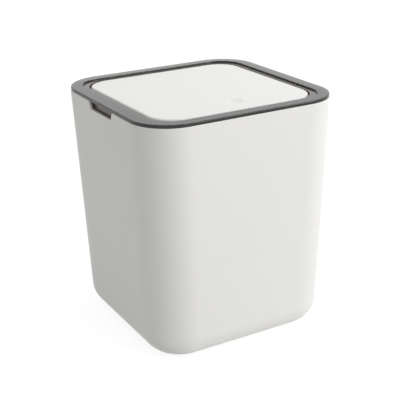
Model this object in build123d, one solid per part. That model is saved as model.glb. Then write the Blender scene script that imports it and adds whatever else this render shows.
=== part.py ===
from build123d import *
import math
import os

# Push top countertop bin, millimetres. +Z is up, the origin is the middle of the base,
# the lid is pushed and opens at the front (-Y) and turns on side pins near the back (+Y).

# ---------------------------------------------------------------- driving dimensions
# Bin
height = 200.0              # base to top of the frame
frame_x = 172.8             # outside of the bin's rim, left to right
frame_y = 170.8             # outside of the bin's rim, front to back
frame_corner = 32.9         # plan radius of the rim's corners
draft_x = 6.6               # how far the left and right walls lean out from base to rim
draft_y = 5.7               # how far the front and back walls lean out
base_round = 21.5           # big radius between walls and base
bin_wall = 2.0
bin_floor = 2.4
rim_chamfer = 0.35
foot_width = 6.0            # flat ring that the bin stands on
foot_recess = 1.0
notch_top = 43.0            # finger notch in the left and right rim
notch_depth = 6.2
notch_slope = 2.8           # how far each end of the notch leans in
notch_round = 2.0

# Frame cover (smoke ring on top)
cover_edge = 2.6            # height of its edges
cover_step = 0.4            # the bin's rim stands this far outside the cover
cover_plate = 1.3
cover_outer_lip = 1.8
cover_outer_round = 0.6
cover_inner_chamfer = 0.4
ring_x = 10.4               # width of the cover at the left and right of its opening
ring_y = 9.4                # width of the cover at the front and back
opening_corner = 21.4
tab_y = 34.0                # snap tabs under the cover, either side of the middle
tab_width = 2.2
tab_height = 2.0
tab_depth = 1.2
tab_slot = 1.4              # part of the tab's slot that shows in the step

# Frame carrier (ring under the cover, its skirt sits inside the bin)
carrier_wall = 1.6
flange = 1.4
skirt_depth = 17.0
skirt_gap = 1.0             # bin wall to skirt at the rim
opening_wall_depth = 13.0
step = 4.0                  # the carrier's rim shows this wide inside the cover's opening
ledge = 1.5                 # ledge under the lid's edge
ledge_reach = 3.3           # from the opening wall inwards
ledge_stop = 18.0           # the ledge ends this far in front of the pins
rib = 1.2
rib_count = 5               # ribs on each side of the frame
rib_pitch = 22.0
rib_height = 7.0
fit_gap = 0.2               # between pieces that locate on each other
seat_gap = 0.3              # between pieces that rest on each other and move

# Lid
lid_recess = 0.9            # frame top to lid top when the lid is level
lid_gap = 1.2               # opening wall to lid edge
lid_corner = 21.0
lid_depth = 5.0
lid_skin = 1.8
lid_rim = 1.8
lid_edge_round = 2.0
tray = 1.5
rest_tilt = 0.2             # degrees that the latched lid slopes up to the front
press_angle = 1.1           # degrees that a push turns the lid down from there
dimple_x = 5.0
dimple_inset = 20.4         # from the lid's front edge to the dimple's centre
dimple_width = 15.0
dimple_depth = 1.1
tray_rib_x = 30.0
tray_rib_length = 90.0
tray_rib_height = 1.2

# Hinge
hinge_inset = 28.0          # from the lid's back edge forwards
hinge_drop = 3.5            # from the tray's underside down to the pins
pin_width = 3.0
pin_head_width = 5.5
pin_head = 1.2
pin_play = 0.05             # radial running clearance
ear = 3.0
ear_radius = 4.5
ear_foot = 6.0              # half width of the ear where it meets the tray
hinge_boss_width = 9.0
spring_wire = 0.9
wire_sides = 6
spring_radius = 2.6         # middle of the wire
spring_half_turns = 5
spring_pitch = 1.34
spring_leg = 12.0
peg_width = 3.0
peg_inset = 9.0             # pin to peg, front to back

# Push latch
latch_inset = 8.2           # from the front opening wall to the slider's axis
latch_drop = 8.0            # from the bin's rim down to the latch's top
latch_width = 18.0
latch_length = 27.0
latch_front = 6.0           # slider axis to the housing's front face
latch_side = 2.0
latch_front_wall = 1.5
latch_floor = 2.0
latch_flange = 2.0
latch_flange_width = 28.0
latch_back = 2.2
slider_depth = 8.6
slider_gap = 0.3
slider_length = 18.1
slider_recess = 0.4         # claw tips below the housing's mouth when latched
claw_hook = 2.6
claw_gap = 4.2              # between the claws' hooks
claw_slot = 8.0
claw_slot_depth = 8.7
cam_depth = 1.4
cam_width = 6.8
cam_rise = 0.8              # from the slider's bottom to the track
cam_height = 7.7
heart_tail = 2.6            # heart heights from the notch the follower rests in
heart_waist = 0.4
heart_shoulder = 0.8
heart_peak = 1.3
follower_wire = 1.0
follower_bend = 0.6
follower_side = 2.4         # the wire stands in the release channel of the cam
follower_rise = 5.6         # slider bottom to the follower's tip
coil_wire = 0.5
coil_width = 4.0
coil_bore = 4.6
coil_bore_depth = 7.9
coil_offset = 1.2           # the spring lies in front of the slider's axis
coil_turns = 6
striker_neck = 3.0
striker_head = 6.4
striker_thick = 5.0
striker_play = 0.4          # head to claws when latched
striker_head_height = 4.9
striker_shoulder = 0.85     # slope from the neck out to the head's full width
striker_band = 1.2          # height at full width
striker_tip = 2.2
striker_foot_x = 20.0
striker_foot_y = 7.0
striker_foot = 1.5

# Screws
screw_width = 2.2
screw_head_width = 4.0
screw_head = 1.4
screw_play = 0.05
screw_hole_play = 0.3
latch_screw_x = 11.0
latch_screw_length = 7.5
latch_screw_inset = 4.0     # in front of the opening wall's face
striker_screw_x = 7.0
striker_screw_length = 4.2
lid_screw_inset = 24.0      # from the lid's edges
lid_screw_length = 4.0
boss_width = 6.0
buffer_width = 3.0
buffer_thick = 0.6
buffer_x = 42.0

# ---------------------------------------------------------------- derived places
rim_z = height - cover_edge
carrier_top = height - cover_plate
flange_bottom = carrier_top - flange
base_x = frame_x - 2 * draft_x
base_y = frame_y - 2 * draft_y
cover_x = frame_x - 2 * cover_step
cover_y = frame_y - 2 * cover_step
cover_corner = frame_corner - cover_step
opening_x = cover_x - 2 * ring_x
opening_y = cover_y - 2 * ring_y
wall_inner_x = opening_x - 2 * step
wall_inner_y = opening_y - 2 * step
wall_outer_x = wall_inner_x + 2 * carrier_wall
wall_outer_y = wall_inner_y + 2 * carrier_wall
wall_corner = lid_corner + lid_gap
skirt_x = frame_x - 2 * (bin_wall + skirt_gap)
skirt_y = frame_y - 2 * (bin_wall + skirt_gap)
skirt_corner = frame_corner - bin_wall - skirt_gap
skirt_bottom = rim_z - skirt_depth
wall_bottom = rim_z - opening_wall_depth

lid_x = wall_inner_x - 2 * lid_gap
lid_y = wall_inner_y - 2 * lid_gap
lid_top = height - lid_recess
tray_bottom = lid_top - lid_depth
tray_top = tray_bottom + tray
skin_bottom = lid_top - lid_skin
tray_x = lid_x - 2 * (lid_rim + fit_gap)
tray_y = lid_y - 2 * (lid_rim + fit_gap)
tray_corner = lid_corner - lid_rim - fit_gap
push_dip = (lid_y - hinge_inset) * math.sin(math.radians(press_angle - rest_tilt))
ledge_top = tray_bottom - push_dip - buffer_thick - seat_gap
lid_screw_x = lid_x / 2 - lid_screw_inset
lid_screw_y = lid_y / 2 - lid_screw_inset

hinge_y = lid_y / 2 - hinge_inset
hinge_z = tray_bottom - hinge_drop
boss_face = wall_inner_x / 2
spring_length = spring_half_turns * spring_pitch / 2 + spring_wire
ear_outer = boss_face - seat_gap - spring_length - fit_gap
pin_end = skirt_x / 2 - carrier_wall - seat_gap
spring_start = ear_outer + fit_gap + spring_wire / 2

latch_y = -(wall_inner_y / 2 - latch_inset)
latch_top = rim_z - latch_drop
latch_bottom = latch_top - latch_length
latch_reach = hinge_y - latch_y
rest_rise = latch_reach * math.sin(math.radians(rest_tilt))
slider_top = latch_top - slider_recess
slider_bottom = slider_top - slider_length
slider_width = latch_width - 2 * (latch_side + slider_gap)
latch_cavity = slider_depth / 2 + fit_gap
latch_screw_y = -(wall_inner_y / 2 + latch_screw_inset)
boss_block_x = latch_flange_width / 2 + fit_gap
coil_y = latch_y - coil_offset
coil_bottom = latch_bottom + latch_floor
coil_top = slider_bottom + coil_bore_depth
hinge_axis = Axis((0, hinge_y, hinge_z), (1, 0, 0))


# ---------------------------------------------------------------- shape helpers
def rounded_block(size_x, size_y, corner, low, high):
    """Upright block with rounded plan corners, between two heights."""
    return Pos(0, 0, low) * extrude(RectangleRounded(size_x, size_y, corner), high - low)


def block(x_low, x_high, y_low, y_high, z_low, z_high):
    """Plain block between two corners."""
    centre = Pos((x_low + x_high) / 2, (y_low + y_high) / 2, (z_low + z_high) / 2)
    return centre * Box(x_high - x_low, y_high - y_low, z_high - z_low)


def rod(x_low, x_high, y, z, width):
    """Round bar along X."""
    middle = Pos((x_low + x_high) / 2, y, z)
    return middle * Rot(0, 90, 0) * Cylinder(width / 2, x_high - x_low)


def post(x, y, low, high, width):
    """Round upright bar."""
    return Pos(x, y, (low + high) / 2) * Cylinder(width / 2, high - low)


def pan_screw(x, y, seat, length):
    """Pan head screw driven upwards; its head is under the seat."""
    head = post(x, y, seat - screw_head, seat, screw_head_width)
    return head + post(x, y, seat, seat + length, screw_width - 2 * screw_play)


def flat_screw(x, y, face, length):
    """Countersunk screw driven upwards, its head level with the face."""
    shank = screw_width - 2 * screw_play
    sink = (screw_head_width - shank) / 2
    head = Pos(x, y, face + sink / 2) * Cone(screw_head_width / 2, shank / 2, sink)
    return head + post(x, y, face + sink, face + length, shank)


def both_sides(shape):
    """The shape and its mirror image on the left."""
    return shape + mirror(shape, Plane.YZ)


def seated_lid(shape):
    """Turn a piece of the level lid to its latched tilt about the hinge pins."""
    return shape.rotate(hinge_axis, -rest_tilt)


def coil_path(turn_radius, pitch, half_turns, start_leg, end_leg):
    """Wire of a coil about X from half-turn arcs, starting at its top, with straight legs to -Y."""
    side = [turn_radius, -turn_radius]
    edges = [Line((0, -start_leg, turn_radius), (0, 0, turn_radius))] if start_leg else []
    for step in range(half_turns):
        here = step * pitch / 2
        up = side[step % 2]
        edges.append(
            ThreePointArc((here, 0, up), (here + pitch / 4, up, 0), (here + pitch / 2, 0, -up))
        )
    if end_leg:
        last = half_turns * pitch / 2
        up = side[half_turns % 2]
        edges.append(Line((last, 0, up), (last, -end_leg, up)))
    return Wire(edges)


def swept_wire(path, width):
    """Wire along a path, six-sided to stay light."""
    start = path @ 0
    section = Plane(origin=start, z_dir=path % 0) * RegularPolygon(width / 2, wire_sides)
    return sweep(section, path=path)


# ---------------------------------------------------------------- bin
def drafted_profile(base, top, inset, low):
    """Outline of the bin seen along an axis: straight sides that lean out from the base."""
    narrow = base / 2 + (top - base) / 2 * low / rim_z - inset
    wide = top / 2 - inset
    return Polyline((-narrow, low), (narrow, low), (wide, rim_z), (-wide, rim_z), close=True)


def bin_form(inset, low):
    """Drafted, rounded-square form of the bin, inset from its outside and starting at a height."""
    front_view = make_face(Plane.XZ * drafted_profile(base_x, frame_x, inset, low))
    side_view = make_face(Plane.YZ * drafted_profile(base_y, frame_y, inset, low))
    form = extrude(front_view, frame_y, both=True) & extrude(side_view, frame_x, both=True)
    corners = form.edges().filter_by(Axis.X, reverse=True).filter_by(Axis.Y, reverse=True)
    form = fillet(corners, frame_corner - inset)
    return fillet(form.edges().group_by(Axis.Z)[0], base_round - inset)


def finger_notches():
    """Prism across the bin that cuts the finger notch out of both side rims."""
    top = notch_top / 2 + notch_slope
    low = notch_top / 2 - notch_slope
    outline = Polyline(
        (-top, rim_z + notch_depth), (-low, rim_z - notch_depth), (low, rim_z - notch_depth),
        (top, rim_z + notch_depth), close=True,
    )
    profile = make_face(Plane.YZ * outline)
    prism = extrude(profile, frame_x, both=True)
    floor_edges = prism.edges().filter_by(Axis.X).group_by(Axis.Z)[0]
    return fillet(floor_edges, notch_round)


def make_bin_body():
    outside = bin_form(0, 0)
    outside = chamfer(outside.edges().group_by(Axis.Z)[-1], rim_chamfer)
    body = outside - bin_form(bin_wall, bin_floor) - finger_notches()
    flat = 2 * (base_round + foot_width)
    recess = rounded_block(base_x - flat, base_y - flat, frame_corner - base_round, 0, foot_recess)
    return body - recess


# ---------------------------------------------------------------- frame
def snap_block(x_low, x_high, clearance):
    """Space of one snap tab under the cover, less a clearance at its sides and bottom."""
    half = tab_width / 2 - clearance
    low = carrier_top - tab_height + clearance
    return block(x_low, x_high, tab_y - half, tab_y + half, low, carrier_top)


def on_all_four(shape):
    """The shape on the left and right, before and behind the middle."""
    pair = both_sides(shape)
    return pair + mirror(pair, Plane.XZ)


def make_frame_cover():
    ring = rounded_block(cover_x, cover_y, cover_corner, rim_z, height)
    ring = fillet(ring.edges().group_by(Axis.Z)[-1], cover_outer_round)
    ring -= rounded_block(opening_x, opening_y, opening_corner, rim_z, height)
    top_face = ring.faces().sort_by(Axis.Z)[-1]
    ring = chamfer(top_face.inner_wires()[0].edges(), cover_inner_chamfer)
    ring -= rounded_block(
        cover_x - 2 * cover_outer_lip, cover_y - 2 * cover_outer_lip, cover_corner - cover_outer_lip,
        rim_z, carrier_top,
    )
    tab = snap_block(opening_x / 2 + fit_gap, opening_x / 2 + tab_depth, fit_gap)
    return ring + on_all_four(tab)


def carrier_shell():
    """Flange, skirt and opening wall of the carrier."""
    lip = 2 * (cover_outer_lip + seat_gap)
    shell = rounded_block(
        cover_x - lip, cover_y - lip, cover_corner - lip / 2, flange_bottom, carrier_top
    )
    shell += rounded_block(skirt_x, skirt_y, skirt_corner, skirt_bottom, carrier_top)
    inner = 2 * carrier_wall
    channel = rounded_block(
        skirt_x - inner, skirt_y - inner, skirt_corner - carrier_wall, skirt_bottom, flange_bottom
    )
    channel -= rounded_block(
        wall_outer_x, wall_outer_y, wall_corner + carrier_wall, wall_bottom, flange_bottom
    )
    shell -= channel
    return shell - rounded_block(wall_inner_x, wall_inner_y, wall_corner, skirt_bottom, carrier_top)


def lid_ledge():
    """Ledge under the edge of the lid, in front of the hinge."""
    ring = rounded_block(
        wall_inner_x + carrier_wall, wall_inner_y + carrier_wall, wall_corner + carrier_wall / 2,
        ledge_top - ledge, ledge_top,
    )
    ring -= rounded_block(
        wall_inner_x - 2 * ledge_reach, wall_inner_y - 2 * ledge_reach, wall_corner - ledge_reach,
        ledge_top - ledge, ledge_top,
    )
    behind = block(-frame_x, frame_x, hinge_y - ledge_stop, frame_y, ledge_top - ledge, ledge_top)
    slider_space = slider_depth / 2 + 2 * seat_gap
    at_latch = block(
        -latch_width / 2, latch_width / 2, latch_y - slider_space, latch_y + slider_space,
        ledge_top - ledge, ledge_top,
    )
    return ring - behind - at_latch


def carrier_ribs():
    """Thin ribs between the skirt and the opening wall, along all four sides."""
    low = flange_bottom - rib_height
    ribs = []
    for step in range(rib_count):
        along = (step - (rib_count - 1) / 2) * rib_pitch
        near = wall_outer_x / 2 - carrier_wall / 2
        far = skirt_x / 2 - carrier_wall / 2
        side_rib = block(near, far, along - rib / 2, along + rib / 2, low, flange_bottom)
        ribs += [side_rib, mirror(side_rib, Plane.YZ)]
        near = wall_outer_y / 2 - carrier_wall / 2
        far = skirt_y / 2 - carrier_wall / 2
        back_rib = block(along - rib / 2, along + rib / 2, near, far, low, flange_bottom)
        ribs += [back_rib, mirror(back_rib, Plane.XZ)]
    return ribs


def make_frame_carrier():
    carrier = carrier_shell() + lid_ledge()
    for one_rib in carrier_ribs():
        carrier += one_rib
    front = -(skirt_y / 2 - carrier_wall / 2)
    back = -(wall_inner_y / 2 + fit_gap)
    carrier += block(-boss_block_x, boss_block_x, front, back, latch_top, flange_bottom)
    flange_space = boss_block_x + fit_gap
    carrier -= block(
        -flange_space, flange_space, -(wall_outer_y / 2 + fit_gap), -(wall_inner_y / 2 - fit_gap),
        skirt_bottom, latch_top,
    )
    below = block(
        -flange_space, flange_space, -(skirt_y / 2 - carrier_wall), -(wall_outer_y / 2 - carrier_wall),
        skirt_bottom, latch_top,
    )
    carrier -= below
    pilot_top = latch_top - latch_flange + latch_screw_length + seat_gap
    for x in (-latch_screw_x, latch_screw_x):
        carrier -= post(x, latch_screw_y, latch_top, pilot_top, screw_width)
    boss = rod(boss_face, skirt_x / 2 - carrier_wall / 2, hinge_y, hinge_z, hinge_boss_width)
    boss -= rod(boss_face, pin_end + fit_gap, hinge_y, hinge_z, pin_width + 2 * pin_play)
    bearing = rod(boss_face, pin_end + fit_gap, hinge_y, hinge_z, pin_width + 2 * pin_play)
    peg_z = hinge_z - spring_radius - spring_wire / 2 - seat_gap - peg_width / 2
    peg = rod(ear_outer + seat_gap * 2, wall_outer_x / 2, hinge_y - peg_inset, peg_z, peg_width)
    carrier = carrier + both_sides(boss) + both_sides(peg) - both_sides(bearing)
    slot = snap_block(opening_x / 2 - tab_slot, opening_x / 2 + tab_depth + fit_gap, 0)
    return carrier - on_all_four(slot)


# ---------------------------------------------------------------- lid
def lid_screw_places():
    """Plan places of the four screws that hold tray and panel together."""
    return [(x, y) for x in (-lid_screw_x, lid_screw_x) for y in (-lid_screw_y, lid_screw_y)]


def make_lid_panel():
    panel = rounded_block(lid_x, lid_y, lid_corner, tray_bottom, lid_top)
    panel = fillet(panel.edges().group_by(Axis.Z)[-1], lid_edge_round)
    panel -= rounded_block(
        lid_x - 2 * lid_rim, lid_y - 2 * lid_rim, lid_corner - lid_rim, tray_bottom, skin_bottom
    )
    ball = (dimple_width ** 2 / 4 + dimple_depth ** 2) / (2 * dimple_depth)
    dimple_y = -(lid_y / 2 - dimple_inset)
    panel -= Pos(dimple_x, dimple_y, lid_top - dimple_depth + ball) * Sphere(ball)
    pilot_top = tray_bottom + lid_screw_length + seat_gap
    for x, y in lid_screw_places():
        panel += post(x, y, tray_top, skin_bottom, boss_width)
        panel -= post(x, y, tray_top, pilot_top, screw_width)
    return seated_lid(panel)


def hinge_ear():
    """Ear under the tray that holds the right pin."""
    outline = Polyline(
        (hinge_y - ear_foot, tray_bottom), (hinge_y - ear_radius, hinge_z),
        (hinge_y + ear_radius, hinge_z), (hinge_y + ear_foot, tray_bottom), close=True,
    )
    web = Pos(ear_outer - ear, 0, 0) * extrude(make_face(Plane.YZ * outline), ear)
    web += rod(ear_outer - ear, ear_outer, hinge_y, hinge_z, 2 * ear_radius)
    return web - rod(ear_outer - ear, ear_outer, hinge_y, hinge_z, pin_width + 2 * pin_play)


def make_lid_tray():
    plate = rounded_block(tray_x, tray_y, tray_corner, tray_bottom, tray_top)
    plate += both_sides(hinge_ear())
    long_rib = block(
        tray_rib_x - rib / 2, tray_rib_x + rib / 2, -tray_rib_length / 2, tray_rib_length / 2,
        tray_bottom - tray_rib_height, tray_bottom,
    )
    plate += both_sides(long_rib)
    for x, y in lid_screw_places():
        plate -= post(x, y, tray_bottom, tray_top, screw_width + 2 * screw_hole_play)
    for x in (-striker_screw_x, striker_screw_x):
        plate += post(x, latch_y, tray_top, skin_bottom - fit_gap, boss_width)
        plate -= post(x, latch_y, tray_bottom, skin_bottom - fit_gap, screw_width)
    return seated_lid(plate)


def make_lid_screws():
    screws = [pan_screw(x, y, tray_bottom, lid_screw_length) for x, y in lid_screw_places()]
    return Compound([seated_lid(screw) for screw in screws])


def make_latch_striker():
    """Arrow-headed tongue on a foot under the tray."""
    shoulder = slider_top - claw_hook - striker_play - rest_rise
    widest = shoulder - striker_shoulder
    neck = striker_neck / 2
    head = striker_head / 2
    right = [
        (neck, tray_bottom), (neck, shoulder), (head, widest), (head, widest - striker_band),
        (striker_tip / 2, shoulder - striker_head_height),
    ]
    outline = Polyline(*right, *[(-x, z) for x, z in reversed(right)], close=True)
    tongue = extrude(make_face(Plane.XZ * outline), striker_thick / 2, both=True)
    foot = Pos(0, 0, tray_bottom - striker_foot) * extrude(
        RectangleRounded(striker_foot_x, striker_foot_y, striker_foot), striker_foot
    )
    striker = Pos(0, latch_y, 0) * (foot + tongue)
    shank = screw_width + 2 * screw_hole_play
    sink = (screw_head_width - screw_width + 2 * screw_play) / 2
    for x in (-striker_screw_x, striker_screw_x):
        striker -= post(x, latch_y, tray_bottom - striker_foot, tray_bottom, shank)
        cone = Cone(screw_head_width / 2 + screw_play, screw_width / 2, sink)
        striker -= Pos(x, latch_y, tray_bottom - striker_foot + sink / 2) * cone
    return seated_lid(striker)


def make_striker_screws():
    places = (-striker_screw_x, striker_screw_x)
    screws = [flat_screw(x, latch_y, tray_bottom - striker_foot, striker_screw_length) for x in places]
    return Compound([seated_lid(screw) for screw in screws])


def make_lid_buffers():
    """Soft pads on the front ledge that the pushed lid meets."""
    y = -(lid_y / 2 - lid_rim / 2)
    pads = [post(x, y, ledge_top, ledge_top + buffer_thick, buffer_width) for x in (-buffer_x, buffer_x)]
    return Compound(pads)


# ---------------------------------------------------------------- hinge
def make_pivot_pin():
    """Headed steel pin on the right: through the lid's ear into the carrier's boss."""
    inner = ear_outer - ear - fit_gap
    pin = rod(inner - pin_head, inner, hinge_y, hinge_z, pin_head_width)
    return pin + rod(inner, pin_end, hinge_y, hinge_z, pin_width)


def make_torsion_spring():
    """Right torsion spring: one leg under the tray, the other on the carrier's peg."""
    path = coil_path(spring_radius, spring_pitch, spring_half_turns, spring_leg, spring_leg)
    return Pos(spring_start, hinge_y, hinge_z) * swept_wire(path, spring_wire)


# ---------------------------------------------------------------- push latch
def make_latch_housing():
    half = latch_width / 2
    shell = block(-half, half, latch_y - latch_front, latch_y + latch_cavity, latch_bottom, latch_top)
    flange_front = -(skirt_y / 2 - carrier_wall - fit_gap)
    flange_back = latch_y + latch_cavity
    flange_plate = block(
        -latch_flange_width / 2, latch_flange_width / 2, flange_front, flange_back,
        latch_top - latch_flange, latch_top,
    )
    corners = flange_plate.edges().filter_by(Axis.Z).group_by(Axis.Y)[0]
    shell += fillet(corners, latch_flange)
    cavity_half = half - latch_side
    cavity_front = latch_y - latch_front + latch_front_wall
    shell -= block(
        -cavity_half, cavity_half, cavity_front, latch_y + latch_cavity,
        latch_bottom + latch_floor, latch_top,
    )
    for x in (-latch_screw_x, latch_screw_x):
        hole = screw_width + 2 * screw_hole_play
        shell -= post(x, latch_screw_y, latch_top - latch_flange, latch_top, hole)
    return shell


def follower_points():
    """Wire centre line of the cam follower: hook in the back plate, leg, tip in the track."""
    leg_y = latch_y + latch_cavity + follower_wire / 2 + fit_gap
    hook_z = coil_bottom + follower_wire
    tip_z = slider_bottom + follower_rise
    hook = (0, latch_y + latch_cavity + latch_back - fit_gap, hook_z)
    tip_y = latch_y + slider_depth / 2 - cam_depth + fit_gap
    return [hook, (0, leg_y, hook_z), (follower_side, leg_y, tip_z), (follower_side, tip_y, tip_z)]


def make_latch_follower():
    path = FilletPolyline(*follower_points(), radius=follower_bend)
    return swept_wire(path, follower_wire)


def make_latch_back_cover():
    """Plate over the open side of the housing, with a pocket for the follower wire."""
    low_y = latch_y + latch_cavity
    plate = block(
        -latch_width / 2, latch_width / 2, low_y, low_y + latch_back, latch_bottom,
        latch_top,
    )
    points = follower_points()
    pocket_half = follower_side + follower_wire
    pocket = block(
        -pocket_half, pocket_half, low_y, low_y + follower_wire + 2 * fit_gap,
        points[0][2] - follower_wire, points[2][2] + follower_wire,
    )
    hook = Pos(0, low_y + latch_back / 2, points[0][2]) * Rot(90, 0, 0)
    return plate - pocket - hook * Cylinder(follower_wire / 2 + pin_play, latch_back)


def cam_track():
    """Heart-shaped cam track in the slider's back face: a pocket round a heart island."""
    low = slider_bottom + cam_rise
    tip = slider_bottom + follower_rise
    pocket = Pos(0, low + cam_height / 2) * RectangleRounded(cam_width, cam_height, follower_wire)
    lobe = follower_side - follower_wire
    rest = tip - follower_wire / 2
    heart = Polyline(
        (0, rest - heart_tail), (lobe, rest - heart_waist), (lobe, rest + heart_shoulder),
        (lobe / 2, rest + heart_peak), (0, rest), (-lobe / 2, rest + heart_peak),
        (-lobe, rest + heart_shoulder), (-lobe, rest - heart_waist), close=True,
    )
    outline = pocket - make_face(heart)
    back_face = Plane(origin=(0, latch_y + slider_depth / 2, 0), x_dir=(1, 0, 0), z_dir=(0, -1, 0))
    return extrude(back_face * outline, cam_depth)


def make_latch_slider():
    half = slider_width / 2
    body = block(
        -half, half, latch_y - slider_depth / 2, latch_y + slider_depth / 2, slider_bottom, slider_top
    )
    hook_low = slider_top - claw_hook
    slot = block(
        -claw_slot / 2, claw_slot / 2, latch_y - slider_depth, latch_y + slider_depth,
        slider_top - claw_slot_depth, hook_low,
    )
    mouth_low, mouth_high = claw_gap / 2, claw_gap / 2 + claw_hook / 2
    mouth = Polyline(
        (-mouth_low, hook_low), (mouth_low, hook_low), (mouth_low, slider_top - claw_hook / 2),
        (mouth_high, slider_top), (-mouth_high, slider_top), (-mouth_low, slider_top - claw_hook / 2),
        close=True,
    )
    gap = Pos(0, latch_y, 0) * extrude(make_face(Plane.XZ * mouth), slider_depth, both=True)
    bore = post(0, coil_y, slider_bottom, coil_top, coil_bore)
    return body - slot - gap - bore - cam_track()


def make_latch_spring():
    """Coil spring between the housing's floor and the slider."""
    length = coil_top - coil_bottom - 2 * fit_gap - coil_wire
    turn_radius = (coil_width - coil_wire) / 2
    path = coil_path(turn_radius, length / coil_turns, 2 * coil_turns, 0, 0)
    low = coil_bottom + fit_gap + coil_wire / 2
    return Pos(0, coil_y, low) * Rot(0, -90, 0) * swept_wire(path, coil_wire)


def make_latch_screws():
    places = (-latch_screw_x, latch_screw_x)
    seat = latch_top - latch_flange
    return Compound([pan_screw(x, latch_screw_y, seat, latch_screw_length) for x in places])


# ---------------------------------------------------------------- write the pieces
def all_pieces():
    pin = make_pivot_pin()
    spring = make_torsion_spring()
    return {
        "bin_body": make_bin_body(),
        "frame_cover": make_frame_cover(),
        "frame_carrier": make_frame_carrier(),
        "lid_panel": make_lid_panel(),
        "lid_tray": make_lid_tray(),
        "lid_screws": make_lid_screws(),
        "lid_buffers": make_lid_buffers(),
        "latch_striker": make_latch_striker(),
        "striker_screws": make_striker_screws(),
        "pivot_pin_right": pin,
        "pivot_pin_left": mirror(pin, Plane.YZ),
        "torsion_spring_right": spring,
        "torsion_spring_left": mirror(spring, Plane.YZ),
        "latch_housing": make_latch_housing(),
        "latch_back_cover": make_latch_back_cover(),
        "latch_slider": make_latch_slider(),
        "latch_spring": make_latch_spring(),
        "latch_follower": make_latch_follower(),
        "latch_screws": make_latch_screws(),
    }


os.makedirs("parts", exist_ok=True)
for node, shape in all_pieces().items():
    export_step(shape, f"parts/{node}.step")
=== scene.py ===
"""Looks for the push top countertop bin: materials, springs, screws, floor, light and camera."""
import math

import bpy
from mathutils import Matrix, Vector


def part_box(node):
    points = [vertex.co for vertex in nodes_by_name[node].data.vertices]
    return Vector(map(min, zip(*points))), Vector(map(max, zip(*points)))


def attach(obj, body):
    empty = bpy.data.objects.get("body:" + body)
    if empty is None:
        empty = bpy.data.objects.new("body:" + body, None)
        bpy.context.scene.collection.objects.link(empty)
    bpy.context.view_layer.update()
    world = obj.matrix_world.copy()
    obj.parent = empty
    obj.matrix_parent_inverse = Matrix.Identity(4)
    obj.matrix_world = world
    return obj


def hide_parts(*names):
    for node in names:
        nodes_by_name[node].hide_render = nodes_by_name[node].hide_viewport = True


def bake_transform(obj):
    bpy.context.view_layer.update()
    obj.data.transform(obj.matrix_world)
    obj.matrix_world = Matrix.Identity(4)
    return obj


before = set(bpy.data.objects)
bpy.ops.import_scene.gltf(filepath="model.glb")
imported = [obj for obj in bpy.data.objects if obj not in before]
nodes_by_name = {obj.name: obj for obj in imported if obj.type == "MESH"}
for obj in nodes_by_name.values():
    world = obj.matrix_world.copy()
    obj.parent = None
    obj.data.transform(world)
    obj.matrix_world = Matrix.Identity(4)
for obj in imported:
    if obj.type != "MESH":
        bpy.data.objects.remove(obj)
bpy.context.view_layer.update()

scene = bpy.context.scene
MM = 0.001

# ---------------------------------------------------------------- camera of the photograph
PHOTO_PIXELS = 400
CAMERA_AZIMUTH = math.radians(-29.24)
CAMERA_ELEVATION = math.radians(21.4)
CAMERA_ROLL = math.radians(-1.31)
CAMERA_DISTANCE = 0.7979
CAMERA_TARGET = Vector((0.0, 0.0, 0.100))
LENS_MM = 84.2
SENSOR_MM = 36.0
NEAREST_SEEN = 10.0 * MM
OPTICAL_AXIS_AT = (199.6, 202.15)       # pixel of the photograph

# ---------------------------------------------------------------- studio
FLOOR_HALF = 4.0
FLOOR_TOP = -0.1 * MM                   # just clear of the foot ring
FLOOR_BOUNCING = (0.68, 0.68, 0.68, 1)  # colour for the light that it sends to the object
FLOOR_SEEN = (0.3, 0.3, 0.3, 1)         # colour under the glow, which keeps the shadow
FLOOR_GLOW = 0.85
WORLD_LIGHT = 0.5
WORLD_SEEN = 1.0
WHITE = (1, 1, 1, 1)
# Name, place, point it is turned to, width, height and power of each light
SOFTBOXES = (
    ("key_softbox", (0.8, -1.45, 0.6), (0, 0, 0.1), 1.2, 1.0, 12.2),
    ("top_softbox", (0.8, -0.2, 1.35), (0, 0, 0.2), 0.9, 0.9, 7.5),
    ("back_softbox", (0.75, 1.45, 0.72), (0, 0, 0.2), 1.8, 0.8, 1.2),
)

# ---------------------------------------------------------------- surface of plastics and metals
# Real grain and tool lines, a tenth of a millimetre or finer, are too fine to show in the render,
# so they are drawn 0.25 to 0.6 mm wide. The polished plastic has a 6 mm waviness instead.
DRIFT_MM = 40.0                         # slow change of gloss and tone over a moulding
DRIFT_TONE = 0.985                      # darkest tone of that drift
MOULDED_DETAIL = 2.0
MOULDED_GLOSS_SPREAD = 0.03
MOULDED_BUMP = 0.6
DRAWN_DETAIL = 3.0
DRAWN_GLOSS_SPREAD = 0.08
DRAWN_BUMP = 0.3
DRAWN_LINE_HEIGHT = 0.01 * MM


# ---------------------------------------------------------------- node helpers
def linear(hex_colour):
    """sRGB hex to linear RGBA."""
    parts = [int(hex_colour[i:i + 2], 16) / 255 for i in (1, 3, 5)]
    return [c / 12.92 if c <= 0.04045 else ((c + 0.055) / 1.055) ** 2.4 for c in parts] + [1.0]


def add_node(tree, kind, settings=None, inputs=None, links=None):
    """Add a node with its settings and input values, and links from other nodes' outputs."""
    made = tree.nodes.new(kind)
    for name, value in (settings or {}).items():
        setattr(made, name, value)
    for name, value in (inputs or {}).items():
        made.inputs[name].default_value = value
    for name, output in (links or {}).items():
        tree.links.new(output, made.inputs[name])
    return made


def new_material(name):
    """Empty node material and its tree."""
    material = bpy.data.materials.new(name)
    material.use_nodes = True
    material.node_tree.nodes.clear()
    return material, material.node_tree


def per_metre(size_mm):
    """Texture scale on Object coordinates for a feature of this size."""
    return 1.0 / (size_mm * MM)


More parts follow.
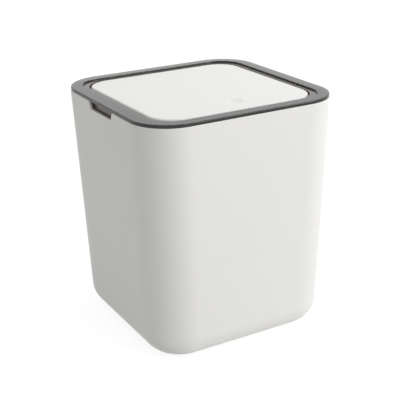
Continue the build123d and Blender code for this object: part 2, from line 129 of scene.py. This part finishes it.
def moulded_plastic(name, hex_colour, roughness, ior, grain_mm, grain_height_mm, **shader_values):
    """Plastic whose surface carries the mould's grain, with a slow drift in gloss and tone."""
    material, tree = new_material(name)
    place = add_node(tree, "ShaderNodeTexCoord").outputs["Object"]
    grain = add_node(
        tree, "ShaderNodeTexNoise",
        inputs={"Scale": per_metre(grain_mm), "Detail": MOULDED_DETAIL}, links={"Vector": place},
    )
    drift = add_node(
        tree, "ShaderNodeTexNoise",
        inputs={"Scale": per_metre(DRIFT_MM), "Detail": MOULDED_DETAIL}, links={"Vector": place},
    )
    gloss = add_node(
        tree, "ShaderNodeMapRange",
        inputs={
            "To Min": roughness - MOULDED_GLOSS_SPREAD, "To Max": roughness + MOULDED_GLOSS_SPREAD,
        },
        links={"Value": drift.outputs["Fac"]},
    )
    bump = add_node(
        tree, "ShaderNodeBump",
        inputs={"Strength": MOULDED_BUMP, "Distance": grain_height_mm * MM},
        links={"Height": grain.outputs["Fac"]},
    )
    tint = add_node(
        tree, "ShaderNodeMix", {"data_type": "RGBA"}, links={"Factor": drift.outputs["Fac"]},
    )
    base = linear(hex_colour)
    tint.inputs["A"].default_value = [c * DRIFT_TONE for c in base[:3]] + [1.0]
    tint.inputs["B"].default_value = base
    shader = add_node(
        tree, "ShaderNodeBsdfPrincipled", inputs={"IOR": ior, **shader_values},
        links={
            "Base Color": tint.outputs["Result"], "Roughness": gloss.outputs["Result"],
            "Normal": bump.outputs["Normal"],
        },
    )
    add_node(tree, "ShaderNodeOutputMaterial", links={"Surface": shader.outputs["BSDF"]})
    return material


def drawn_metal(name, hex_colour, roughness, line_mm, stretch):
    """Metal with fine lines left by its tool, as a stretched noise in its roughness and bump."""
    material, tree = new_material(name)
    place = add_node(tree, "ShaderNodeTexCoord").outputs["Object"]
    along = add_node(tree, "ShaderNodeMapping", inputs={"Scale": stretch}, links={"Vector": place})
    lines = add_node(
        tree, "ShaderNodeTexNoise",
        inputs={"Scale": per_metre(line_mm), "Detail": DRAWN_DETAIL},
        links={"Vector": along.outputs["Vector"]},
    )
    gloss = add_node(
        tree, "ShaderNodeMapRange",
        inputs={
            "To Min": roughness - DRAWN_GLOSS_SPREAD, "To Max": roughness + DRAWN_GLOSS_SPREAD,
        },
        links={"Value": lines.outputs["Fac"]},
    )
    bump = add_node(
        tree, "ShaderNodeBump", inputs={"Strength": DRAWN_BUMP, "Distance": DRAWN_LINE_HEIGHT},
        links={"Height": lines.outputs["Fac"]},
    )
    shader = add_node(
        tree, "ShaderNodeBsdfPrincipled",
        inputs={"Base Color": linear(hex_colour), "Metallic": 1.0},
        links={"Roughness": gloss.outputs["Result"], "Normal": bump.outputs["Normal"]},
    )
    add_node(tree, "ShaderNodeOutputMaterial", links={"Surface": shader.outputs["BSDF"]})
    return material


# ---------------------------------------------------------------- materials
def polypropylene_shell():
    """Injection moulded polypropylene: soft satin white with a very fine eroded grain."""
    return moulded_plastic("polypropylene_moulded_satin", "#EBEAE6", 0.42, 1.49, 0.5, 0.02)


def abs_lid():
    """Injection moulded ABS: a slightly smoother, neutral white."""
    return moulded_plastic("abs_moulded_white", "#EEEEEB", 0.34, 1.53, 0.5, 0.015)


def smoke_polycarbonate_polished():
    """Polished polycarbonate with a smoke tint: nearly black, a little see-through, sharp gloss."""
    return moulded_plastic(
        "polycarbonate_smoke_polished", "#221D1A", 0.07, 1.585, 6.0, 0.02, Alpha=0.8,
    )


def smoke_polycarbonate_moulded():
    """The same resin from an unpolished mould: browner, less glossy, a little see-through."""
    return moulded_plastic(
        "polycarbonate_smoke_moulded", "#60564F", 0.14, 1.585, 0.6, 0.01, Alpha=0.75,
    )


def acetal_black():
    """Moulded acetal: waxy black with a low sheen."""
    return moulded_plastic("acetal_moulded_black", "#171717", 0.38, 1.48, 0.4, 0.01)


def nitrile_buffer():
    """Compression moulded nitrile rubber: matt charcoal with a fine pebbled skin."""
    return moulded_plastic("rubber_nitrile_moulded", "#26262A", 0.75, 1.52, 0.3, 0.05)


def zinc_plated_steel():
    """Turned steel with bright zinc plating: pale bluish grey, soft gloss."""
    return drawn_metal("steel_zinc_plated", "#C4C7C9", 0.32, 0.3, (1.0, 1.0, 1.0))


def spring_wire_steel():
    """Hard drawn spring wire: darker grey with faint lines, drawn out across the bin."""
    return drawn_metal("steel_spring_wire_drawn", "#9B9C9D", 0.28, 0.25, (0.3, 1.0, 1.0))


MATERIALS = {
    "shell": polypropylene_shell(),
    "lid": abs_lid(),
    "smoke": smoke_polycarbonate_polished(),
    "smoke_inside": smoke_polycarbonate_moulded(),
    "latch": acetal_black(),
    "zinc": zinc_plated_steel(),
    "spring": spring_wire_steel(),
    "buffer": nitrile_buffer(),
}
NODE_MATERIALS = {
    "bin_body": "shell",
    "frame_cover": "smoke",
    "frame_carrier": "smoke_inside",
    "lid_panel": "lid",
    "lid_tray": "lid",
    "lid_screws": "zinc",
    "lid_buffers": "buffer",
    "latch_striker": "latch",
    "striker_screws": "zinc",
    "pivot_pin_left": "zinc",
    "pivot_pin_right": "zinc",
    "torsion_spring_left": "spring",
    "torsion_spring_right": "spring",
    "latch_housing": "latch",
    "latch_back_cover": "latch",
    "latch_slider": "latch",
    "latch_spring": "spring",
    "latch_follower": "spring",
    "latch_screws": "zinc",
}


def dress_nodes():
    """Give every CAD node its material."""
    for node_name, key in NODE_MATERIALS.items():
        slots = nodes_by_name[node_name].data.materials
        slots.clear()
        slots.append(MATERIALS[key])


# ---------------------------------------------------------------- pieces made by geometry nodes
def new_geometry_tree(name, **sockets):
    """Geometry tree with named inputs, and those inputs by name."""
    tree = bpy.data.node_groups.new(name, "GeometryNodeTree")
    tree.interface.new_socket("Geometry", in_out="INPUT", socket_type="NodeSocketGeometry")
    for socket_name, kind in sockets.items():
        tree.interface.new_socket(socket_name, in_out="INPUT", socket_type="NodeSocket" + kind)
    tree.interface.new_socket("Geometry", in_out="OUTPUT", socket_type="NodeSocketGeometry")
    given = add_node(tree, "NodeGroupInput").outputs
    return tree, {socket_name: given[socket_name] for socket_name in ("Geometry", *sockets)}


def work_out(tree, known, steps):
    """Add the results of a formula's steps to the known values, in order."""
    for result, operation, *terms in steps:
        made = add_node(
            tree, "ShaderNodeMath", {"operation": operation},
            inputs={place: term for place, term in enumerate(terms) if term not in known},
            links={place: known[term] for place, term in enumerate(terms) if term in known},
        )
        known[result] = made.outputs[0]


def finish_tree(tree, known, geometry):
    """Realize the instances, give the material and end the tree."""
    realized = add_node(tree, "GeometryNodeRealizeInstances", links={"Geometry": geometry})
    coloured = add_node(
        tree, "GeometryNodeSetMaterial",
        links={"Geometry": realized.outputs[0], "Material": known["Material"]},
    )
    add_node(tree, "NodeGroupOutput", links={"Geometry": coloured.outputs[0]})


# Each step of a formula is its result, its operation and its terms: numbers, inputs or results.
WINDING = (
    ("Spans", "SUBTRACT", "Points", 1.0),
    ("Along", "DIVIDE", "Index", "Spans"),
    # Share of the coil that is wound at a point, between the two straight legs
    ("BothLegs", "MULTIPLY", "LegShare", 2.0),
    ("CoilShare", "SUBTRACT", 1.0, "BothLegs"),
    ("PastLeg", "SUBTRACT", "Along", "LegShare"),
    ("CoilPart", "DIVIDE", "PastLeg", "CoilShare"),
    ("Started", "MAXIMUM", "CoilPart", 0.0),
    ("Wound", "MINIMUM", "Started", 1.0),
    # Place along the axis: even, or slower at the ends so that they lie closed
    ("Squared", "MULTIPLY", "Wound", "Wound"),
    ("Twice", "MULTIPLY", "Wound", 2.0),
    ("Rest", "SUBTRACT", 3.0, "Twice"),
    ("Slow", "MULTIPLY", "Squared", "Rest"),
    ("Lag", "SUBTRACT", "Slow", "Wound"),
    ("Bend", "MULTIPLY", "Lag", "ClosedEnds"),
    ("Advance", "ADD", "Wound", "Bend"),
    ("PlaceX", "MULTIPLY", "Advance", "Length"),
    # Legs at the start and the end, straight to -Y
    ("FirstLeg", "SUBTRACT", "LegShare", "Along"),
    ("OnFirst", "MAXIMUM", "FirstLeg", 0.0),
    ("LegStart", "SUBTRACT", 1.0, "LegShare"),
    ("LastLeg", "SUBTRACT", "Along", "LegStart"),
    ("OnLast", "MAXIMUM", "LastLeg", 0.0),
    ("OnLeg", "ADD", "OnFirst", "OnLast"),
    ("LegScale", "MAXIMUM", "LegShare", 0.001),
    ("LegPart", "DIVIDE", "OnLeg", "LegScale"),
    ("Out", "MULTIPLY", "LegPart", "Leg"),
    # Round the axis, from the top
    ("TurnsMade", "MULTIPLY", "Wound", "Turns"),
    ("Angle", "MULTIPLY", "TurnsMade", 2 * math.pi),
    ("Sine", "SINE", "Angle"),
    ("Cosine", "COSINE", "Angle"),
    ("Round", "MULTIPLY", "Sine", "Radius"),
    ("PlaceY", "SUBTRACT", "Round", "Out"),
    ("PlaceZ", "MULTIPLY", "Cosine", "Radius"),
    ("WireRadius", "DIVIDE", "WireDiameter", 2.0),
)


def wound_wire_tree():
    """Round wire wound about X: a helix whose ends may lie closed, with straight legs to -Y."""
    tree, known = new_geometry_tree(
        "wound_wire", Turns="Float", Radius="Float", Length="Float", Leg="Float", LegShare="Float",
        ClosedEnds="Float", WireDiameter="Float", Points="Int", Sides="Int", Material="Material",
    )
    known["Index"] = add_node(tree, "GeometryNodeInputIndex").outputs[0]
    work_out(tree, known, WINDING)
    line = add_node(tree, "GeometryNodeCurvePrimitiveLine")
    fine = add_node(
        tree, "GeometryNodeResampleCurve",
        links={"Curve": line.outputs["Curve"], "Count": known["Points"]},
    )
    place = add_node(
        tree, "ShaderNodeCombineXYZ",
        links={"X": known["PlaceX"], "Y": known["PlaceY"], "Z": known["PlaceZ"]},
    )
    path = add_node(
        tree, "GeometryNodeSetPosition",
        links={"Geometry": fine.outputs["Curve"], "Position": place.outputs[0]},
    )
    section = add_node(
        tree, "GeometryNodeCurvePrimitiveCircle",
        links={"Resolution": known["Sides"], "Radius": known["WireRadius"]},
    )
    wire = add_node(
        tree, "GeometryNodeCurveToMesh", inputs={"Fill Caps": True},
        links={"Curve": path.outputs["Geometry"], "Profile Curve": section.outputs["Curve"]},
    )
    finish_tree(tree, known, wire.outputs["Mesh"])
    return tree


SCREW_SIZES = (
    ("EdgeRadius", "DIVIDE", "EdgeDiameter", 2.0),
    ("HeadRadius", "DIVIDE", "HeadDiameter", 2.0),
    ("SeatRadius", "DIVIDE", "SeatDiameter", 2.0),
    ("ShankRadius", "DIVIDE", "ShankDiameter", 2.0),
    ("HeadHeight", "ADD", "EdgeHeight", "SeatHeight"),
    ("HeadLow", "MULTIPLY", "HeadHeight", -1.0),
    ("SeatLow", "MULTIPLY", "SeatHeight", -1.0),
    ("SeatTop", "ADD", "SeatLow", "SeatHeight"),
    ("RecessHeight", "MULTIPLY", "RecessDepth", 2.0),
)
# Radius below, radius above, height and low end of each part of a screw
SCREW_PARTS = (
    ("EdgeRadius", "HeadRadius", "EdgeHeight", "HeadLow"),
    ("HeadRadius", "SeatRadius", "SeatHeight", "SeatLow"),
    ("ShankRadius", "ShankRadius", "ShankLength", "SeatTop"),
)


def cross_screw_tree():
    """Screw with a cross recess at each point: a shank up along Z and a head of two cones below."""
    tree, known = new_geometry_tree(
        "cross_recess_screws", HeadDiameter="Float", EdgeDiameter="Float", EdgeHeight="Float",
        SeatDiameter="Float", SeatHeight="Float", ShankDiameter="Float", ShankLength="Float",
        RecessWidth="Float", RecessSlot="Float", RecessDepth="Float", Tilt="Float", Sides="Int",
        Material="Material",
    )
    work_out(tree, known, SCREW_SIZES)
    body = add_node(tree, "GeometryNodeMeshBoolean", {"operation": "UNION"})
    for below, above, height, low in SCREW_PARTS:
        cone = add_node(
            tree, "GeometryNodeMeshCone",
            links={
                "Vertices": known["Sides"], "Radius Bottom": known[below],
                "Radius Top": known[above], "Depth": known[height],
            },
        )
        lift = add_node(tree, "ShaderNodeCombineXYZ", links={"Z": known[low]})
        placed = add_node(
            tree, "GeometryNodeTransform",
            links={"Geometry": cone.outputs["Mesh"], "Translation": lift.outputs[0]},
        )
        tree.links.new(placed.outputs[0], body.inputs["Mesh 2"])
    cut = add_node(
        tree, "GeometryNodeMeshBoolean", {"operation": "DIFFERENCE"},
        links={"Mesh 1": body.outputs["Mesh"]},
    )
    for wide, narrow in (("RecessWidth", "RecessSlot"), ("RecessSlot", "RecessWidth")):
        size = add_node(
            tree, "ShaderNodeCombineXYZ",
            links={"X": known[wide], "Y": known[narrow], "Z": known["RecessHeight"]},
        )
        bar = add_node(tree, "GeometryNodeMeshCube", links={"Size": size.outputs[0]})
        lift = add_node(tree, "ShaderNodeCombineXYZ", links={"Z": known["HeadLow"]})
        placed = add_node(
            tree, "GeometryNodeTransform",
            links={"Geometry": bar.outputs["Mesh"], "Translation": lift.outputs[0]},
        )
        tree.links.new(placed.outputs[0], cut.inputs["Mesh 2"])
    turn = add_node(tree, "ShaderNodeCombineXYZ", links={"X": known["Tilt"]})
    screws = add_node(
        tree, "GeometryNodeInstanceOnPoints",
        links={
            "Points": known["Geometry"], "Instance": cut.outputs["Mesh"],
            "Rotation": turn.outputs[0],
        },
    )
    finish_tree(tree, known, screws.outputs["Instances"])
    return tree


def bake_piece(name, tree, values, points=()):
    """Run a geometry tree and keep its result as a plain mesh object."""
    start = bpy.data.meshes.new(name + "_start")
    start.from_pydata([tuple(point) for point in points], [], [])
    holder = bpy.data.objects.new(name + "_start", start)
    scene.collection.objects.link(holder)
    modifier = holder.modifiers.new("build", "NODES")
    modifier.node_group = tree
    for item in tree.interface.items_tree:
        if item.in_out == "INPUT" and item.name in values:
            modifier[item.identifier] = values[item.name]
    holder.update_tag()
    graph = bpy.context.evaluated_depsgraph_get()
    mesh = bpy.data.meshes.new_from_object(holder.evaluated_get(graph))
    holder.modifiers.remove(modifier)
    bpy.data.objects.remove(holder)
    mesh.name = name
    piece = bpy.data.objects.new(name, mesh)
    scene.collection.objects.link(piece)
    return piece


def shade_smooth(piece, crease_degrees):
    """Smooth shading that keeps edges sharper than an angle."""
    piece.data.polygons.foreach_set("use_smooth", [True] * len(piece.data.polygons))
    piece.data.set_sharp_from_angle(angle=math.radians(crease_degrees))


def move_mesh(piece, matrix):
    """Place a piece by its mesh, so that the object stays at the origin."""
    piece.data.transform(matrix)
    if matrix.determinant() < 0:
        piece.data.flip_normals()


# ---------------------------------------------------------------- springs
TORSION_WIRE = 0.9 * MM
COIL_WIRE = 0.5 * MM
WIRE_CREASE = 50.0                      # degrees: only the cut ends of a wire stay sharp
WOUND_WIRE = wound_wire_tree()
TORSION_VALUES = {
    "Turns": 2.5, "LegShare": 0.2, "ClosedEnds": 0.0, "WireDiameter": TORSION_WIRE,
    "Points": 161, "Sides": 14, "Material": MATERIALS["spring"],
}
COIL_VALUES = {
    "Turns": 6.0, "Leg": 0.0, "LegShare": 0.0, "ClosedEnds": 0.35, "WireDiameter": COIL_WIRE,
    "Points": 145, "Sides": 10, "Material": MATERIALS["spring"],
}


def torsion_spring(side, mirrored):
    """Round-wire spring on the hinge pin: two and a half turns, both legs forward."""
    node = "torsion_spring_" + side
    low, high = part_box(node)
    radius = (high[2] - low[2]) / 2 - TORSION_WIRE / 2
    hinge = Vector((0.0, high[1] - radius - TORSION_WIRE / 2, (high[2] + low[2]) / 2))
    piece = bake_piece("spring_round_wire_" + side, WOUND_WIRE, {
        **TORSION_VALUES, "Radius": radius, "Length": high[0] - low[0] - TORSION_WIRE,
        "Leg": hinge.y - low[1],
    })
    start = (high[0] - TORSION_WIRE / 2) if mirrored else (low[0] + TORSION_WIRE / 2)
    flip = Matrix.Diagonal((-1.0 if mirrored else 1.0, 1.0, 1.0, 1.0))
    move_mesh(piece, Matrix.Translation((start, hinge.y, hinge.z)) @ flip)
    shade_smooth(piece, WIRE_CREASE)
    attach(piece, "frame")
    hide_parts(node)


def latch_coil():
    """Compression spring under the latch slider, with closed ends."""
    low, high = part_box("latch_spring")
    centre = Vector(((low[0] + high[0]) / 2, (low[1] + high[1]) / 2, 0.0))
    bottom = low[2] + COIL_WIRE / 2
    top = high[2] - COIL_WIRE / 2
    piece = bake_piece("latch_coil_round_wire", WOUND_WIRE, {
        **COIL_VALUES, "Radius": (high[1] - low[1]) / 2 - COIL_WIRE / 2, "Length": top - bottom,
    })
    upright = Matrix.Rotation(math.radians(-90.0), 4, "Y")
    move_mesh(piece, Matrix.Translation((centre.x, centre.y, bottom)) @ upright)
    shade_smooth(piece, WIRE_CREASE)
    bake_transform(piece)
    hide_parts("latch_spring")


# ---------------------------------------------------------------- screws
CROSS_SCREWS = cross_screw_tree()
SCREW_CREASE = 25.0                     # degrees
SHANK = 2.1 * MM
HEAD = 4.0 * MM
PAN_HEAD_HEIGHT = 1.4 * MM
PAN_SHANK_LENGTH = 4.0 * MM             # of the lid's screws
SUNK_HEAD_HEIGHT = 0.95 * MM
SUNK_EDGE_HEIGHT = 0.06 * MM
PAN_VALUES = {
    "HeadDiameter": HEAD, "EdgeDiameter": 0.8 * HEAD, "EdgeHeight": 0.35 * PAN_HEAD_HEIGHT,
    "SeatDiameter": HEAD, "SeatHeight": 0.65 * PAN_HEAD_HEIGHT, "ShankDiameter": SHANK,
    "RecessWidth": 2.2 * MM, "RecessSlot": 0.55 * MM, "RecessDepth": 0.9 * MM, "Sides": 32,
}
SUNK_VALUES = {
    "HeadDiameter": HEAD, "EdgeDiameter": 0.97 * HEAD, "EdgeHeight": SUNK_EDGE_HEIGHT,
    "SeatDiameter": SHANK, "SeatHeight": SUNK_HEAD_HEIGHT - SUNK_EDGE_HEIGHT,
    "ShankDiameter": SHANK, "RecessWidth": 2.0 * MM, "RecessSlot": 0.5 * MM,
    "RecessDepth": 0.7 * MM, "Sides": 32,
}


def screw_set(node, body, points, values, length, tilt):
    """Cross-recess screws at their seats, in place of the plain ones."""
    settings = {**values, "ShankLength": length, "Tilt": tilt, "Material": MATERIALS["zinc"]}
    piece = bake_piece(node + "_cross_recess", CROSS_SCREWS, settings, points)
    shade_smooth(piece, SCREW_CREASE)
    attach(piece, body)
    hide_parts(node)


def make_screws():
    """Four pan heads under the lid, two under the latch and two sunk ones in the striker."""
    low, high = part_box("lid_screws")
    x = high[0] - HEAD / 2
    front, back = low[1] + HEAD / 2, high[1] - HEAD / 2
    rise = high[2] - low[2] - (PAN_HEAD_HEIGHT + PAN_SHANK_LENGTH)
    slope = math.atan2(rise, back - front)
    rows = ((front, high[2] - PAN_SHANK_LENGTH), (back, low[2] + PAN_HEAD_HEIGHT))
    seats = [(side * x, y, z) for side in (-1, 1) for y, z in rows]
    screw_set("lid_screws", "lid", seats, PAN_VALUES, PAN_SHANK_LENGTH, -slope)

    low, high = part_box("latch_screws")
    x, y, seat = high[0] - HEAD / 2, (low[1] + high[1]) / 2, low[2] + PAN_HEAD_HEIGHT
    length = high[2] - seat
    screw_set("latch_screws", "frame", [(-x, y, seat), (x, y, seat)], PAN_VALUES, length, 0.0)

    low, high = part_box("striker_screws")
    x, y, seat = high[0] - HEAD / 2, (low[1] + high[1]) / 2, low[2] + SUNK_HEAD_HEIGHT
    length = high[2] - seat
    screw_set("striker_screws", "lid", [(-x, y, seat), (x, y, seat)], SUNK_VALUES, length, -slope)


# ---------------------------------------------------------------- floor, light, camera
def seen_as_background(tree):
    """1 for camera, glossy and transmission rays, and 0 for light on its way to the object."""
    path = add_node(tree, "ShaderNodeLightPath").outputs
    seen = path["Is Camera Ray"]
    for ray in ("Is Glossy Ray", "Is Transmission Ray"):
        either = add_node(
            tree, "ShaderNodeMath", {"operation": "MAXIMUM"}, links={0: seen, 1: path[ray]},
        )
        seen = either.outputs[0]
    return seen


def make_floor():
    """Plain floor, white as seen and mirrored, that keeps a faint shadow."""
    mesh = bpy.data.meshes.new("studio_floor")
    corners = [(-1, -1), (1, -1), (1, 1), (-1, 1)]
    places = [(x * FLOOR_HALF, y * FLOOR_HALF, FLOOR_TOP) for x, y in corners]
    mesh.from_pydata(places, [], [(0, 1, 2, 3)])
    floor = bpy.data.objects.new("studio_floor", mesh)
    scene.collection.objects.link(floor)
    material, tree = new_material("studio_floor_white")
    view = seen_as_background(tree)
    plain = add_node(tree, "ShaderNodeBsdfDiffuse", inputs={"Color": FLOOR_BOUNCING})
    faint = add_node(tree, "ShaderNodeBsdfDiffuse", inputs={"Color": FLOOR_SEEN})
    glow = add_node(tree, "ShaderNodeEmission", inputs={"Strength": FLOOR_GLOW})
    bright = add_node(
        tree, "ShaderNodeAddShader", links={0: faint.outputs["BSDF"], 1: glow.outputs["Emission"]},
    )
    both = add_node(
        tree, "ShaderNodeMixShader",
        links={0: view, 1: plain.outputs["BSDF"], 2: bright.outputs["Shader"]},
    )
    add_node(tree, "ShaderNodeOutputMaterial", links={"Surface": both.outputs["Shader"]})
    mesh.materials.append(material)


def make_world():
    """Even pale studio light, white as seen, mirrored and through the smoke plastic."""
    world = bpy.data.worlds.new("studio_world")
    scene.world = world
    world.use_nodes = True
    tree = world.node_tree
    tree.nodes.clear()
    view = seen_as_background(tree)
    fill, white = [
        add_node(tree, "ShaderNodeBackground", inputs={"Color": WHITE, "Strength": strength})
        for strength in (WORLD_LIGHT, WORLD_SEEN)
    ]
    both = add_node(
        tree, "ShaderNodeMixShader", links={0: view, 1: fill.outputs[0], 2: white.outputs[0]},
    )
    add_node(tree, "ShaderNodeOutputWorld", links={"Surface": both.outputs["Shader"]})


def make_lights():
    """Large low softbox at the front right, one above to the right and a faint one behind."""
    for name, place, aim, width, height, watts in SOFTBOXES:
        light = bpy.data.lights.new(name, "AREA")
        light.shape = "RECTANGLE"
        light.size = width
        light.size_y = height
        light.energy = watts
        lamp = bpy.data.objects.new(name, light)
        lamp.location = place
        lamp.rotation_euler = (Vector(aim) - Vector(place)).to_track_quat("-Z", "Y").to_euler()
        scene.collection.objects.link(lamp)


def make_camera():
    """Camera at the photograph's angle and framing."""
    sin_a, cos_a = math.sin(CAMERA_AZIMUTH), math.cos(CAMERA_AZIMUTH)
    sin_e, cos_e = math.sin(CAMERA_ELEVATION), math.cos(CAMERA_ELEVATION)
    back = Vector((sin_a * cos_e, -cos_a * cos_e, sin_e))
    right = Vector((cos_a, sin_a, 0.0))
    up = back.cross(right)
    right_rolled = right * math.cos(CAMERA_ROLL) + up * math.sin(CAMERA_ROLL)
    up_rolled = up * math.cos(CAMERA_ROLL) - right * math.sin(CAMERA_ROLL)
    data = bpy.data.cameras.new("photo_camera")
    data.lens = LENS_MM
    data.sensor_width = SENSOR_MM
    data.shift_x = (PHOTO_PIXELS / 2 - OPTICAL_AXIS_AT[0]) / PHOTO_PIXELS
    data.shift_y = (OPTICAL_AXIS_AT[1] - PHOTO_PIXELS / 2) / PHOTO_PIXELS
    data.clip_start = NEAREST_SEEN
    camera = bpy.data.objects.new("photo_camera", data)
    turn = Matrix((right_rolled, up_rolled, back)).transposed().to_4x4()
    camera.matrix_world = Matrix.Translation(CAMERA_TARGET + back * CAMERA_DISTANCE) @ turn
    scene.collection.objects.link(camera)
    scene.camera = camera


dress_nodes()
torsion_spring("right", mirrored=False)
torsion_spring("left", mirrored=True)
latch_coil()
make_screws()
make_floor()
make_world()
make_lights()
make_camera()
scene.view_settings.view_transform = "Standard"
